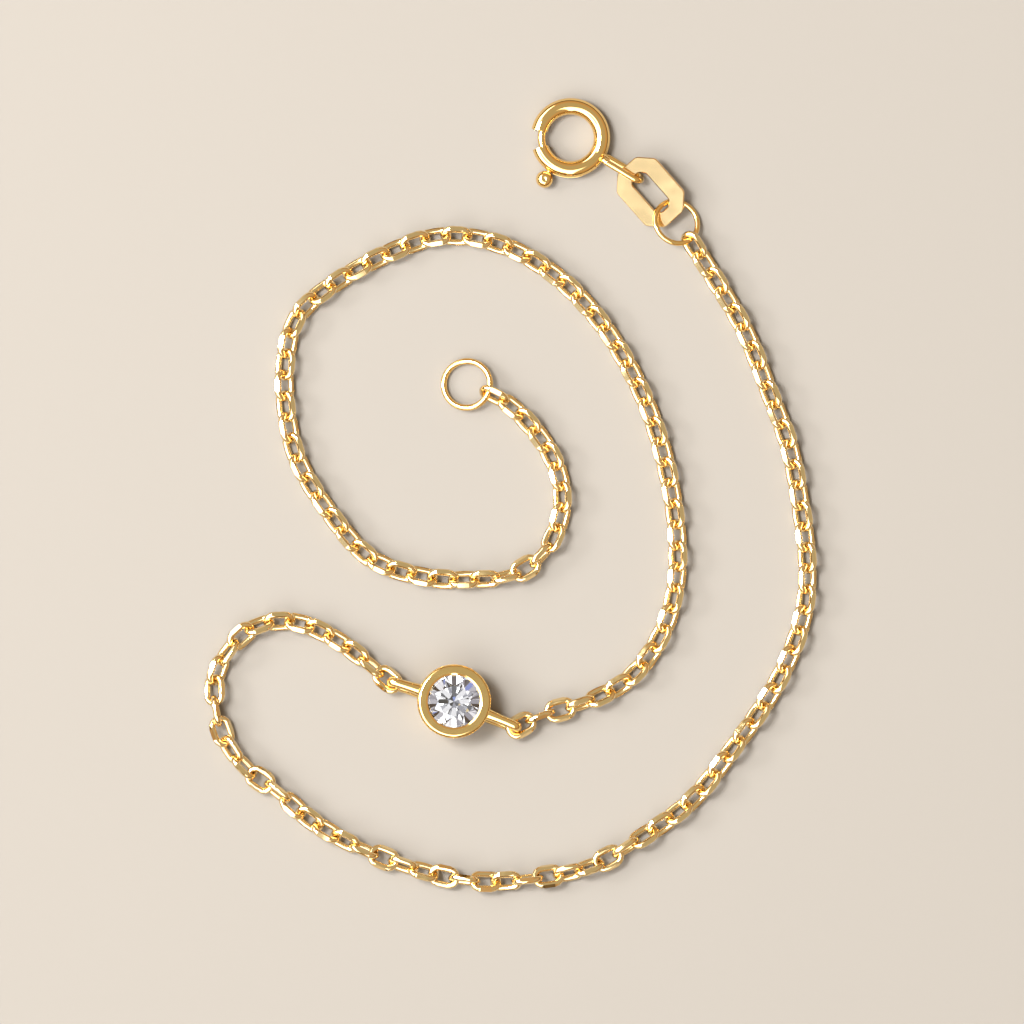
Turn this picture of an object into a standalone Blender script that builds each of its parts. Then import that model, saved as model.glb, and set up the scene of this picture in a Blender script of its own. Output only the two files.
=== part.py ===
import bmesh
import bpy
from math import radians, pi, sin, cos
from mathutils import Vector, Matrix

# driving sizes, in metres and degrees; the bracelet lies on z = 0
floor_gap = 0.00002
play = 0.00008
link_width = 0.00128
link_wire = 0.00016
link_pitch = 0.0012
link_sides = 10
wire_sides = 5
usual_roll = 40

clasp_centre = (0.00318, 0.02037)
clasp_radius = 0.0018
clasp_tube = 0.00048
clasp_wall = 0.00009
gap_start = 167
gap_end = 198
bore_end = 306
slot_start = 230
slot_end = 288
gate_radius = 0.00168
gate_wire = 0.0002
gate_tip = 158
gate_tail = 244
knob_angle = 238
knob_reach = 0.00278
knob_size = 0.00046
knob_tall = 0.86
knob_band = 0.45
knob_cap = 0.6
stem_size = 0.0001

eye_angle = -31
eye_reach = 0.00485
eye_wire = 0.00018
eye_rise = 0.00044
eye_lean = 22

tag_centre = (0.00774, 0.01728)
tag_angle = -48.7
tag_length = 0.0041
tag_width = 0.00304
tag_chamfer = 0.0008
tag_thick = 0.00025
tag_lean = 15
tag_height = 0.0007
slot_length = 0.0026
slot_width = 0.00106
slot_chamfer = 0.0003

tag_ring_centre = (0.0092, 0.01556)
tag_ring_radius = 0.00127
tag_ring_wire = 0.000155
tag_ring_high = 222
tag_ring_lean = 25
tag_ring_exit = -52

end_ring_centre = (-0.00271, 0.00634)
end_ring_radius = 0.00133
end_ring_wire = 0.00018
end_ring_exit = -22
end_ring_lift = 0.0006

bezel_centre = (-0.00343, -0.01172)
bezel_sides = 16
bezel_height = 0.00202
rim_radius = 0.00197
belly_radius = 0.0021
foot_radius = 0.00172
bevel_drop = 0.00016
rim_inner = 0.0016
view_radius = 0.00149
stone_radius = 0.00158
stone_clear = 0.00005
table_radius = 0.0009
crown_height = 0.00047
girdle_height = 0.00006
pavilion_depth = 0.00136
seat_width = 0.00023

bail_angles = (163, -22.6)
bail_reaches = (0.00402, 0.00414)
bail_wire = 0.00027
bail_rise = 0.0005
bail_lean = 8

ring_sides = 12

# the clasp-side strand from the tag ring to the setting, a few points by eye
clasp_side_route = [
    (0.0116, 0.0120), (0.01315, 0.0093), (0.0144, 0.0061), (0.0156, 0.0029),
    (0.01625, -0.00045), (0.01665, -0.00385), (0.01645, -0.00665), (0.01555, -0.00935),
    (0.0142, -0.01185), (0.0122, -0.01465), (0.0101, -0.0173), (0.00735, -0.01935),
    (0.0044, -0.02105), (0.00105, -0.02175), (-0.00235, -0.0219), (-0.0057, -0.0212),
    (-0.0088, -0.02), (-0.0113, -0.01865), (-0.0135, -0.0168), (-0.0151, -0.01565),
    (-0.01635, -0.0141), (-0.01695, -0.0122), (-0.017, -0.0102), (-0.01605, -0.0085),
    (-0.0145, -0.0073), (-0.01225, -0.0072), (-0.0097, -0.00845),
]
# the end-side strand from the setting to the end ring
end_side_route = [
    (0.00145, -0.0125), (0.0042, -0.0117), (0.00665, -0.0103), (0.0083, -0.008),
    (0.00915, -0.0053), (0.00925, -0.00245), (0.0088, 0.0009), (0.0079, 0.0042),
    (0.0065, 0.00735), (0.00465, 0.0102), (0.00225, 0.0126), (-0.00075, 0.0143),
    (-0.0041, 0.0148), (-0.0073, 0.01375), (-0.0103, 0.01205), (-0.0124, 0.01015),
    (-0.01305, 0.00745), (-0.01295, 0.0046), (-0.01225, 0.00185), (-0.01045, -0.00105),
    (-0.00815, -0.0036), (-0.00495, -0.00465), (-0.0021, -0.00475), (-0.0004, -0.0046),
    (0.0011, -0.00385), (0.00215, -0.00255), (0.00275, -0.00035), (0.0023, 0.0019),
    (0.0011, 0.0038), (-0.0003, 0.0052),
]
# links that turned over, by their number from the start of the strand
clasp_side_turned = {
    34: 106, 35: -8, 36: 60, 37: 126, 38: 12, 39: 78, 40: -40, 41: 30, 42: 98, 43: -18,
    44: 50, 45: 114, 46: 4, 47: 70, 48: -48, 52: 106, 53: -8, 54: 60, 55: 126, 56: 16,
    57: 86, 58: -30, 59: 46, 60: 116, 61: 28, 62: -50, 68: -66, 69: -4,
}
end_side_turned = {
    1: 0, 2: 88, 3: 4, 4: 70, 59: -44, 60: 46, 61: 112, 62: 0, 63: 72, 64: -36,
    65: 40, 66: -40, 67: 40, 68: -40, 69: 40, 70: -40, 71: 40, 72: -58,
}

gold = (0.79, 0.52, 0.2)
pale_gold = (0.83, 0.6, 0.32)
white = (0.9, 0.9, 0.92)


def material(name, colour, metallic, roughness):
    found = bpy.data.materials.new(name)
    found.use_nodes = True
    shader = found.node_tree.nodes["Principled BSDF"]
    shader.inputs["Base Color"].default_value = (*colour, 1)
    shader.inputs["Metallic"].default_value = metallic
    shader.inputs["Roughness"].default_value = roughness
    found.diffuse_color = (*colour, 1)
    return found


def add_object(name, verts, faces, look):
    mesh = bpy.data.meshes.new(name)
    mesh.from_pydata([tuple(v) for v in verts], [], faces)
    work = bmesh.new()
    work.from_mesh(mesh)
    bmesh.ops.recalc_face_normals(work, faces=work.faces)
    work.to_mesh(mesh)
    work.free()
    found = bpy.data.objects.new(name, mesh)
    bpy.context.collection.objects.link(found)
    mesh.materials.append(look)
    return found


def turn(angle):
    return Matrix.Rotation(radians(angle), 3, "Z")


def polar(centre, radius, angle, z=0.0):
    return Vector((centre[0] + radius * cos(radians(angle)), centre[1] + radius * sin(radians(angle)), z))


def flat_to_flat(radius, sides):
    """Distance from a polygon's middle to its sides."""
    return radius * cos(pi / sides)


def wire_sections(path, wire, sides, normal, closed=True):
    """A mitred section at each point of a flat path, one corner of it pointing outward."""
    count = len(path)
    rings = []
    for i, here in enumerate(path):
        before = path[i - 1] if i or closed else here * 2 - path[1]
        after = path[(i + 1) % count] if i < count - 1 or closed else here * 2 - path[-2]
        out_a = (here - before).cross(normal).normalized()
        out_b = (after - here).cross(normal).normalized()
        out = (out_a + out_b).normalized()
        out /= out.dot(out_a)
        rings.append([
            here + out * (wire * cos(2 * pi * j / sides)) + normal * (wire * sin(2 * pi * j / sides))
            for j in range(sides)
        ])
    return rings


def tube_faces(count, sides, start=0, closed=True):
    """Faces of a tube of sections, with both ends filled if it is open."""
    faces = []
    for i in range(count if closed else count - 1):
        for j in range(sides):
            a = start + i * sides
            b = start + (i + 1) % count * sides
            faces.append((a + j, b + j, b + (j + 1) % sides, a + (j + 1) % sides))
    if not closed:
        faces.append(tuple(start + j for j in range(sides)))
        faces.append(tuple(start + (count - 1) * sides + j for j in reversed(range(sides))))
    return faces


def loop_path(middle, along, side, half_length, half_width, sides):
    """A long oval of straight runs, a side of it square across each end."""
    bend = half_width / cos(pi / sides)
    straight = half_length - half_width
    points = []
    for i in range(sides):
        angle = 2 * pi * (i + 0.5) / sides
        x = cos(angle) * bend
        y = sin(angle) * bend
        if abs(x) < 1e-9:
            y = half_width if y > 0 else -half_width
        elif straight > 0:
            x += straight if x > 0 else -straight
        points.append(middle + along * x + side * y)
    return points


def smooth_route(points):
    """A dense curve through the hand-chosen points."""
    ends = [points[0] * 2 - points[1], *points, points[-1] * 2 - points[-2]]
    curve = []
    for i in range(1, len(ends) - 2):
        a, b, c, d = ends[i - 1:i + 3]
        for step in range(40):
            t = step / 40
            curve.append(0.5 * (
                b * 2 + (c - a) * t + (a * 2 - b * 5 + c * 4 - d) * t ** 2
                + (b * 3 - a - c * 3 + d) * t ** 3
            ))
    curve.append(points[-1])
    return curve


def even_points(curve, step):
    """Points the same distance apart along a curve, as near to step as fits."""
    lengths = [0.0]
    for a, b in zip(curve, curve[1:]):
        lengths.append(lengths[-1] + (b - a).length)
    count = max(2, round(lengths[-1] / step))
    points = []
    i = 0
    for k in range(count + 1):
        want = lengths[-1] * k / count
        while i < len(lengths) - 2 and lengths[i + 1] < want:
            i += 1
        share = (want - lengths[i]) / max(lengths[i + 1] - lengths[i], 1e-12)
        points.append(curve[i].lerp(curve[i + 1], share))
    return points


def strand_links(start, route, finish, turned, first_roll):
    """Middle, direction, side and half length of each link between two ends."""
    flat = [Vector((p[0], p[1], 0)) for p in (start, *route, finish)]
    joints = even_points(smooth_route(flat), link_pitch)
    count = len(joints) - 1
    rolls = [turned.get(i + 1, first_roll * (-1) ** i) for i in range(count)]
    reach = link_width / 2 - link_wire
    rises = [abs(sin(radians(roll))) * reach + link_wire + floor_gap for roll in rolls]
    for i, joint in enumerate(joints):
        joint.z = max(rises[max(i - 1, 0)], rises[min(i, count - 1)])
    joints[0].z = max(joints[0].z, start[2])
    joints[-1].z = max(joints[-1].z, finish[2])
    half = link_pitch / 2 + flat_to_flat(link_wire, wire_sides) + play / 2
    links = []
    for a, b, roll in zip(joints, joints[1:], rolls):
        along = (b - a).normalized()
        level = Vector((0, 0, 1)).cross(along).normalized()
        upright = along.cross(level)
        side = level * cos(radians(roll)) + upright * sin(radians(roll))
        links.append(((a + b) / 2, along, side, half))
    return links


def link_mesh(link):
    middle, along, side, half = link
    path = loop_path(middle, along, side, half, link_width / 2 - link_wire, link_sides)
    rings = wire_sections(path, link_wire, wire_sides, along.cross(side))
    return [p for ring in rings for p in ring]


def make_strand(name, start, route, finish, turned, first_roll, look):
    """All the links, each fused to the next by a short neck where the two touch."""
    links = strand_links(start, route, finish, turned, first_roll)
    print(name, len(links), "links", round((links[1][0] - links[0][0]).length * 1e3, 4))
    size = link_sides * wire_sides
    near = (wire_sides - 1) // 2
    far = near + 1
    last = link_sides - 1
    back = link_sides // 2 - 1
    verts = []
    faces = []
    for k, link in enumerate(links):
        verts += link_mesh(link)
        opened = []
        if k < len(links) - 1:
            opened.append((last * wire_sides + near, near, far, last * wire_sides + far))
        if k > 0:
            a = back * wire_sides
            b = a + wire_sides
            opened.append((a + near, b + near, b + far, a + far))
        faces += [
            tuple(k * size + v for v in face)
            for face in tube_faces(link_sides, wire_sides) if face not in opened
        ]
    for k in range(len(links) - 1):
        a = k * size
        b = a + size + back * wire_sides
        first = [a + last * wire_sides + near, a + near, a + far, a + last * wire_sides + far]
        second = [b + near, b + wire_sides + near, b + wire_sides + far, b + far]
        turns = [[second[(s - j) % 4] for j in range(4)] for s in range(4)]
        second = min(turns, key=lambda t: sum((verts[p] - verts[q]).length for p, q in zip(first, t)))
        for j in range(4):
            faces.append((first[j], first[(j + 1) % 4], second[(j + 1) % 4], second[j]))
    return add_object(name, verts, faces, look)


def ring_frame(centre, lean, high, low_z):
    """Middle and axes of a ring that leans up towards one side."""
    out = turn(high) @ Vector((1, 0, 0))
    along = out * cos(radians(lean)) + Vector((0, 0, sin(radians(lean))))
    side = Vector((0, 0, 1)).cross(out)
    return Vector((centre[0], centre[1], low_z)), along, side


def make_ring(name, frame, radius, wire, look):
    middle, along, side = frame
    path = []
    bend = radius / cos(pi / ring_sides)
    for i in range(ring_sides):
        angle = 2 * pi * (i + 0.5) / ring_sides
        path.append(middle + along * (cos(angle) * bend) + side * (sin(angle) * bend))
    rings = wire_sections(path, wire, wire_sides, along.cross(side))
    verts = [p for ring in rings for p in ring]
    return add_object(name, verts, tube_faces(ring_sides, wire_sides), look)


def ring_pin(frame, radius, angle):
    """The middle of a leaning ring's wire at a heading."""
    middle, along, side = frame
    out = turn(angle) @ Vector((1, 0, 0))
    share = Vector((out.dot(along) / along.to_2d().length ** 2, out.dot(side), 0)).normalized()
    return middle + along * (share.x * radius) + side * (share.y * radius)


def leaned(along, lean):
    """Straight up, then tipped to the right of a heading."""
    up = Vector((0, 0, 1))
    return up * cos(radians(lean)) + along.cross(up) * sin(radians(lean))


def torus_point(radius, angle, size, corner, sides, z):
    """A corner of the tube's section, whose first side faces outward."""
    around = 2 * pi * (corner - 0.5) / sides
    out = radius + size * cos(around)
    spot = polar(clasp_centre, out, angle)
    spot.z = z + size * sin(around)
    return spot


def make_clasp_ring(look):
    """A tube bent round, hollow behind its gap and slotted outside for the lever's stem."""
    sides = 8
    z = clasp_tube + floor_gap
    stops = [gap_end, (gap_end + slot_start) / 2, slot_start, (slot_start + slot_end) / 2, slot_end, bore_end]
    rest = 9
    full = 360 + gap_start
    socket = full - 16
    stops += [bore_end + (socket - bore_end) * k / rest for k in range(1, rest)]
    stops += [socket, full]
    bore_stop = stops.index(bore_end)
    slot_from = stops.index(slot_start)
    slot_to = stops.index(slot_end)
    inner_size = clasp_tube - clasp_wall
    verts = []
    outer = {}
    inner = {}
    for i, angle in enumerate(stops):
        for j in range(sides):
            outer[i, j] = len(verts)
            verts.append(torus_point(clasp_radius, angle, clasp_tube, j, sides, z))
        if i <= bore_stop or angle >= socket:
            for j in range(sides):
                inner[i, j] = len(verts)
                verts.append(torus_point(clasp_radius, angle, inner_size, j, sides, z))
    faces = []
    for i in range(len(stops) - 1):
        slotted = slot_from <= i < slot_to
        for j in range(sides):
            k = (j + 1) % sides
            if not (slotted and j == 0):
                faces.append((outer[i, j], outer[i + 1, j], outer[i + 1, k], outer[i, k]))
            if (i, j) in inner and (i + 1, j) in inner and not (slotted and j == 0):
                faces.append((inner[i, j], inner[i, k], inner[i + 1, k], inner[i + 1, j]))
        if slotted:
            faces.append((outer[i, 0], inner[i, 0], inner[i + 1, 0], outer[i + 1, 0]))
            faces.append((outer[i, 1], outer[i + 1, 1], inner[i + 1, 1], inner[i, 1]))
    for i, flip in ((slot_from, False), (slot_to, True)):
        wall = (outer[i, 0], outer[i, 1], inner[i, 1], inner[i, 0])
        faces.append(wall[::-1] if flip else wall)
    last = len(stops) - 1
    for j in range(sides):
        k = (j + 1) % sides
        faces.append((outer[0, j], outer[0, k], inner[0, k], inner[0, j]))
        faces.append((outer[last, j], inner[last, j], inner[last, k], outer[last, k]))
    faces.append(tuple(inner[bore_stop, j] for j in range(sides)))
    faces.append(tuple(inner[last - 1, j] for j in reversed(range(sides))))
    body = add_object("clasp_ring", verts, faces, look)

    along = turn(eye_angle) @ Vector((1, 0, 0))
    near = clasp_radius + 0.7 * clasp_tube
    far = eye_reach - eye_wire
    middle = polar(clasp_centre, (near + far) / 2, eye_angle, eye_rise + eye_wire + floor_gap)
    up = leaned(along, eye_lean)
    path = loop_path(middle, along, up, (far - near) / 2, eye_rise, link_sides)
    rings = wire_sections(path, eye_wire, wire_sides, along.cross(up))
    eye = add_object("eye", [p for ring in rings for p in ring], tube_faces(link_sides, wire_sides), look)
    weld(body, [eye])
    return body


def weld(body, others):
    """Solders pieces on, as one solid."""
    for other in others:
        join = body.modifiers.new("solder", "BOOLEAN")
        join.operation = "UNION"
        join.solver = "EXACT"
        join.object = other
        with bpy.context.temp_override(object=body, active_object=body, selected_objects=[body]):
            bpy.ops.object.modifier_apply(modifier=join.name)
        bpy.data.objects.remove(other, do_unlink=True)


def make_gate(look):
    """The sprung wire that closes the gap, with the lever's stem and knob."""
    z = clasp_tube + floor_gap
    sides = 6
    steps = 6
    path = []
    for i in range(steps + 1):
        angle = gate_tip + (gate_tail - gate_tip) * i / steps
        path.append(polar(clasp_centre, gate_radius, angle, z))
    rings = wire_sections(path, gate_wire, sides, Vector((0, 0, 1)), closed=False)
    body = add_object("clasp_gate", [p for ring in rings for p in ring], tube_faces(len(path), sides, closed=False), look)
    out = turn(knob_angle) @ Vector((1, 0, 0))
    start = polar(clasp_centre, gate_radius, knob_angle, z)
    end = polar(clasp_centre, knob_reach, knob_angle, z)
    stem = make_bar("stem", start, end, stem_size, 5, look)
    knob = make_knob("knob", end, out, knob_size, look)
    weld(body, [stem, knob])
    return body


def make_bar(name, start, end, size, sides, look):
    along = (end - start).normalized()
    up = Vector((0, 0, 1))
    across = along.cross(up)
    verts = []
    for spot in (start, end):
        for j in range(sides):
            angle = 2 * pi * j / sides
            verts.append(spot + across * (size * cos(angle)) + up * (size * sin(angle)))
    faces = [(j, sides + j, sides + (j + 1) % sides, (j + 1) % sides) for j in range(sides)]
    faces.append(tuple(range(sides)))
    faces.append(tuple(reversed(range(sides, 2 * sides))))
    return add_object(name, verts, faces, look)


def make_knob(name, middle, out, size, look):
    """A small ball of flat faces."""
    sides = 8
    verts = []
    for level, share in ((-knob_tall, knob_cap), (-knob_band, 1), (knob_band, 1), (knob_tall, knob_cap)):
        for j in range(sides):
            spot = turn(360 * (j + 0.5) / sides) @ out * (size * share)
            verts.append(middle + spot + Vector((0, 0, level * size)))
    faces = []
    for i in range(3):
        for j in range(sides):
            a = i * sides
            k = (j + 1) % sides
            faces.append((a + j, a + k, a + sides + k, a + sides + j))
    faces.append(tuple(reversed(range(sides))))
    faces.append(tuple(range(3 * sides, 4 * sides)))
    return add_object(name, verts, faces, look)


def octagon(half_length, half_width, chamfer, chamfer_width):
    """Corners of a long octagon, anticlockwise."""
    x = half_length - chamfer
    y = half_width - chamfer_width
    return [
        (half_length, -y), (half_length, y), (x, half_width), (-x, half_width),
        (-half_length, y), (-half_length, -y), (-x, -half_width), (x, -half_width),
    ]


def make_tag(middle, look):
    """A flat plate with a long slot, leaning up on its right-hand side."""
    outer = octagon(tag_length / 2, tag_width / 2, tag_chamfer, tag_chamfer)
    inner = octagon(slot_length / 2, slot_width / 2, slot_chamfer, slot_chamfer)
    place = turn(tag_angle) @ Matrix.Rotation(radians(tag_lean), 3, "X")
    verts = []
    for corners in (outer, inner):
        for z in (-tag_thick / 2, tag_thick / 2):
            verts += [middle + place @ Vector((x, y, z)) for x, y in corners]
    faces = []
    for j in range(8):
        k = (j + 1) % 8
        faces.append((j, k, 8 + k, 8 + j))
        faces.append((16 + j, 24 + j, 24 + k, 16 + k))
        faces.append((8 + j, 8 + k, 24 + k, 24 + j))
        faces.append((j, 16 + j, 16 + k, k))
    return add_object("tag_link", verts, faces, look)


def revolve(profile, sides, centre):
    verts = []
    for k in range(sides):
        for radius, z in profile:
            verts.append(polar(centre, radius, 360 * (k + 0.5) / sides, z))
    faces = []
    count = len(profile)
    for k in range(sides):
        for j in range(count):
            a = k * count
            b = (k + 1) % sides * count
            i = (j + 1) % count
            faces.append((a + j, b + j, b + i, a + i))
    return verts, faces


def girdle_z():
    """Height of the stone's lower girdle edge, set by the rim's lip."""
    crown_slope = crown_height / (stone_radius - table_radius)
    lip = bezel_height - 0.00009
    return lip - girdle_height - (stone_radius - view_radius) * crown_slope - stone_clear * 1.25


def make_bezel(look):
    """The collet round the stone, with a bail soldered on at each side."""
    low = girdle_z()
    slope = pavilion_depth / stone_radius
    hold = stone_radius + stone_clear
    lip = bezel_height - 0.00009
    groove_top = low + girdle_height + stone_clear * 0.6
    groove_low = low - stone_clear * 0.6
    inner = stone_radius - seat_width
    seat_low = low - seat_width * slope - stone_clear
    profile = [
        (foot_radius, floor_gap), (belly_radius, bezel_height - bevel_drop), (rim_radius, bezel_height),
        (rim_inner, bezel_height), (view_radius, lip), (hold, groove_top), (hold, groove_low),
        (inner, seat_low), (inner, floor_gap),
    ]
    verts, faces = revolve(profile, bezel_sides, bezel_centre)
    body = add_object("bezel", verts, faces, look)
    bails = []
    z = bail_rise + bail_wire + floor_gap
    for angle, reach in zip(bail_angles, bail_reaches):
        along = turn(angle) @ Vector((1, 0, 0))
        up = leaned(along, bail_lean if along.x < 0 else -bail_lean)
        far = reach - bail_wire
        root = foot_radius + 0.00002
        bend = far - bail_rise * 0.4
        corners = [(root, -1), (bend, -1), (far, -0.6), (far, 0.6), (bend, 1), (root, 1)]
        path = [polar(bezel_centre, out, angle, z) + up * (bail_rise * share) for out, share in corners]
        rings = wire_sections(path, bail_wire, wire_sides, along.cross(up), closed=False)
        faces = tube_faces(len(path), wire_sides, closed=False)
        bails.append(add_object("bail", [p for ring in rings for p in ring], faces, look))
    weld(body, bails)
    return body


def make_stone(look):
    """A round brilliant: table, stars, kites, girdle facets and pavilion mains."""
    low = girdle_z()
    top = low + girdle_height
    turn_half = 360 / 16
    verts = []

    def ring(count, radius, z, shift):
        start = len(verts)
        for k in range(count):
            verts.append(polar(bezel_centre, radius, turn_half * shift + 360 * k / count, z))
        return start

    table = ring(8, table_radius, top + crown_height, 1)
    stars = ring(8, table_radius + (stone_radius - table_radius) * 0.45, top + crown_height * 0.56, 0)
    upper = ring(16, stone_radius, top, 0)
    lower = ring(16, stone_radius, low, 0)
    mains = ring(8, stone_radius * 0.22, low - pavilion_depth * 0.79, 0)
    culet = len(verts)
    verts.append(Vector((bezel_centre[0], bezel_centre[1], low - pavilion_depth)))
    faces = [tuple(table + k for k in range(8))]
    for k in range(8):
        n = (k + 1) % 8
        p = (k - 1) % 8
        faces.append((table + k, stars + k, table + p)[::-1])
        faces.append((stars + k, upper + 2 * k, upper + 2 * k + 1))
        faces.append((stars + n, upper + 2 * k + 1, upper + (2 * k + 2) % 16))
        faces.append((table + k, stars + k, upper + 2 * k + 1))
        faces.append((table + k, upper + 2 * k + 1, stars + n))
        faces.append((lower + 2 * k, mains + k, lower + 2 * k + 1))
        faces.append((lower + 2 * k + 1, mains + n, lower + (2 * k + 2) % 16))
        faces.append((lower + 2 * k + 1, mains + k, mains + n))
        faces.append((mains + k, culet, mains + n))
    for k in range(16):
        n = (k + 1) % 16
        faces.append((upper + k, lower + k, lower + n, upper + n))
    return add_object("stone", verts, faces, look)


def hook(pin, neighbour, wire):
    """Where the end of a link touches the far side of the wire that it goes round."""
    away = Vector((pin.x - neighbour[0], pin.y - neighbour[1], 0)).normalized()
    return pin + away * (wire + play / 2)


def set_down(bodies):
    """Moves everything so that its box is centred and stands on the floor."""
    spots = [v.co for body in bodies for v in body.data.vertices]
    low = Vector([min(s[i] for s in spots) for i in range(3)])
    high = Vector([max(s[i] for s in spots) for i in range(3)])
    move = Vector((-(low.x + high.x) / 2, -(low.y + high.y) / 2, -low.z))
    for body in bodies:
        body.data.transform(Matrix.Translation(move))
    print("moved by", [round(v * 1e6, 1) for v in move], "micrometres")
    print("size", [round((high[i] - low[i]) * 1e3, 3) for i in range(3)], "mm")


def main():
    for thing in list(bpy.data.objects):
        bpy.data.objects.remove(thing, do_unlink=True)
    chain_gold = material("chain gold", gold, 1.0, 0.22)
    ring_gold = material("ring gold", gold, 1.0, 0.15)
    plate_gold = material("plate gold", pale_gold, 1.0, 0.25)
    bezel_gold = material("bezel gold", pale_gold, 1.0, 0.12)
    diamond = material("diamond", white, 0.0, 0.02)

    sag = tag_ring_radius * sin(radians(tag_ring_lean))
    tag_ring = ring_frame(tag_ring_centre, tag_ring_lean, tag_ring_high, sag + tag_ring_wire + floor_gap)
    pin = ring_pin(tag_ring, tag_ring_radius, tag_ring_exit)
    start = hook(pin, clasp_side_route[0], tag_ring_wire)

    end_low = end_ring_wire + floor_gap
    end_lean = (end_ring_lift - end_low) / (2 * end_ring_radius) * 180 / pi
    end_ring = ring_frame(end_ring_centre, end_lean, end_ring_exit, (end_ring_lift + end_low) / 2)
    pin = ring_pin(end_ring, end_ring_radius, end_ring_exit)
    finish = hook(pin, end_side_route[-1], end_ring_wire)

    bail_z = bail_rise + bail_wire + floor_gap
    left, right = [
        hook(polar(bezel_centre, reach - bail_wire, angle, bail_z), neighbour, bail_wire)
        for angle, reach, neighbour in zip(bail_angles, bail_reaches, (clasp_side_route[-1], end_side_route[0]))
    ]

    middle = Vector((*tag_centre, tag_height))
    bodies = [
        make_clasp_ring(ring_gold),
        make_gate(ring_gold),
        make_tag(middle, plate_gold),
        make_ring("tag_ring", tag_ring, tag_ring_radius, tag_ring_wire, ring_gold),
        make_strand("clasp_side_chain", start, clasp_side_route, left, clasp_side_turned, usual_roll, chain_gold),
        make_bezel(bezel_gold),
        make_stone(diamond),
        make_strand("end_side_chain", right, end_side_route, finish, end_side_turned, -usual_roll, chain_gold),
        make_ring("end_ring", end_ring, end_ring_radius, end_ring_wire, ring_gold),
    ]
    set_down(bodies)


main()
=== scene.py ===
# A fine gold bracelet: cut cable chain, spring ring clasp and a bezel-set brilliant, lying on a pale table.
# All lengths are in metres and all angles in degrees.
from math import cos, pi, radians, sin, tan

import bmesh
import bpy
import numpy as np
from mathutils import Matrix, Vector


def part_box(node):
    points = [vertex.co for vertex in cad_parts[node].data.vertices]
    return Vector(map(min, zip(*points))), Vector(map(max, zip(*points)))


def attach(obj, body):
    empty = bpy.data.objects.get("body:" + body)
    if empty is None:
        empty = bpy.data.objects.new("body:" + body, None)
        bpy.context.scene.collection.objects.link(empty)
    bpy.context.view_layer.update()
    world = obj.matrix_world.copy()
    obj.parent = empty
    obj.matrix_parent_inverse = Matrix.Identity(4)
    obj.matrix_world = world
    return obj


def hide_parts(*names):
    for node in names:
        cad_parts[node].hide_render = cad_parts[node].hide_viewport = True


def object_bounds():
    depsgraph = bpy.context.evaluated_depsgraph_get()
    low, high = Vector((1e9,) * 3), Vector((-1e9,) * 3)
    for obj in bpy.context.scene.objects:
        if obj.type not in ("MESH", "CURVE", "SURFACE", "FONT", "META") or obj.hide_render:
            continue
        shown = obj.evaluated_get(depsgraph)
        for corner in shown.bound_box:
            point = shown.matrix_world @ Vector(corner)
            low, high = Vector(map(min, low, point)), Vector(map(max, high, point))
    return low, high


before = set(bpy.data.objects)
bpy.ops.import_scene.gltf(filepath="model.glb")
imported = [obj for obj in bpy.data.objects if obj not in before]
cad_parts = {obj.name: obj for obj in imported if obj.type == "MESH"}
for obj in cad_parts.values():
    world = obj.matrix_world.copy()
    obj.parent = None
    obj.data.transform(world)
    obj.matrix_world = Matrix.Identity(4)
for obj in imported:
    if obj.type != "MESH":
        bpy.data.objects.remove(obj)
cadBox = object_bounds()
upright = np.array([0.0, 0.0, 1.0])
floorGap = 0.00002  # the lowest metal's height above the table


def cadShift():
    # from the drawing's place to the frame's: the stone's middle in plan, and the setting's foot in height
    low, high = (np.array(corner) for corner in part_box("stone"))
    foot = np.array(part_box("bezel")[0])
    plan = (low + high)[:2] / 2 - setting["centre"]
    return np.array([*plan, foot[2] - floorGap])


def heading(angle):
    # a level direction: x = cos, y = sin of its angle
    return np.array([cos(radians(angle)), sin(radians(angle)), 0.0])


def headings(turns):
    # level directions at many turns, which are in radians: x = cos, y = sin
    return np.stack([np.cos(turns), np.sin(turns), np.zeros(len(turns))], axis=-1)


def polar(centre, radius, angle, z):
    # point = centre + heading * radius, at height z
    return np.array([centre[0], centre[1], z]) + radius * heading(angle)


def unit(vectors):
    # each vector divided by its length
    return vectors / np.linalg.norm(vectors, axis=-1, keepdims=True)


def leaned(along, lean):
    # straight up, then tipped to the right of a heading: up * cos + right * sin of the lean
    return upright * cos(radians(lean)) + np.cross(along, upright) * sin(radians(lean))


def gridFaces(rows, columns, closedRows=True):
    # quads of a grid of points, number = row * columns + column: each row closes, and the rows may
    here = np.arange(rows if closedRows else rows - 1)[:, None] * columns
    after = (here + columns) % (rows * columns)
    i = np.arange(columns)[None, :]
    j = (i + 1) % columns
    return np.stack(np.broadcast_arrays(here + i, after + i, after + j, here + j), axis=-1).reshape(-1, 4)


def sweep(path, outward, normal, section):
    # point = path + outward * section.x + normal * section.y, for each path point and section point
    path, outward, normal = (np.atleast_2d(a)[:, None, :] for a in (path, outward, normal))
    section = np.asarray(section)
    if section.ndim == 2:
        section = section[None]
    return path + outward * section[..., 0:1] + normal * section[..., 1:2]


def circle(radius, count):
    # x = radius * cos, y = radius * sin, at even angles
    angles = np.arange(count) * 2 * pi / count
    return np.stack([radius * np.cos(angles), radius * np.sin(angles)], axis=-1)


def closedTube(path, outward, normal, section):
    # a sweep whose last row joins its first, with its faces
    points = sweep(path, outward, normal, section)
    return points, gridFaces(*points.shape[:2]).tolist()


def cappedTube(path, outward, normal, section):
    # a sweep with a cap on its first row and one on its last, with its faces
    points = sweep(path, outward, normal, section)
    rows, columns = points.shape[:2]
    caps = [list(range(columns)), list(range((rows - 1) * columns, rows * columns))]
    return points, gridFaces(rows, columns, closedRows=False).tolist() + caps


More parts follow.
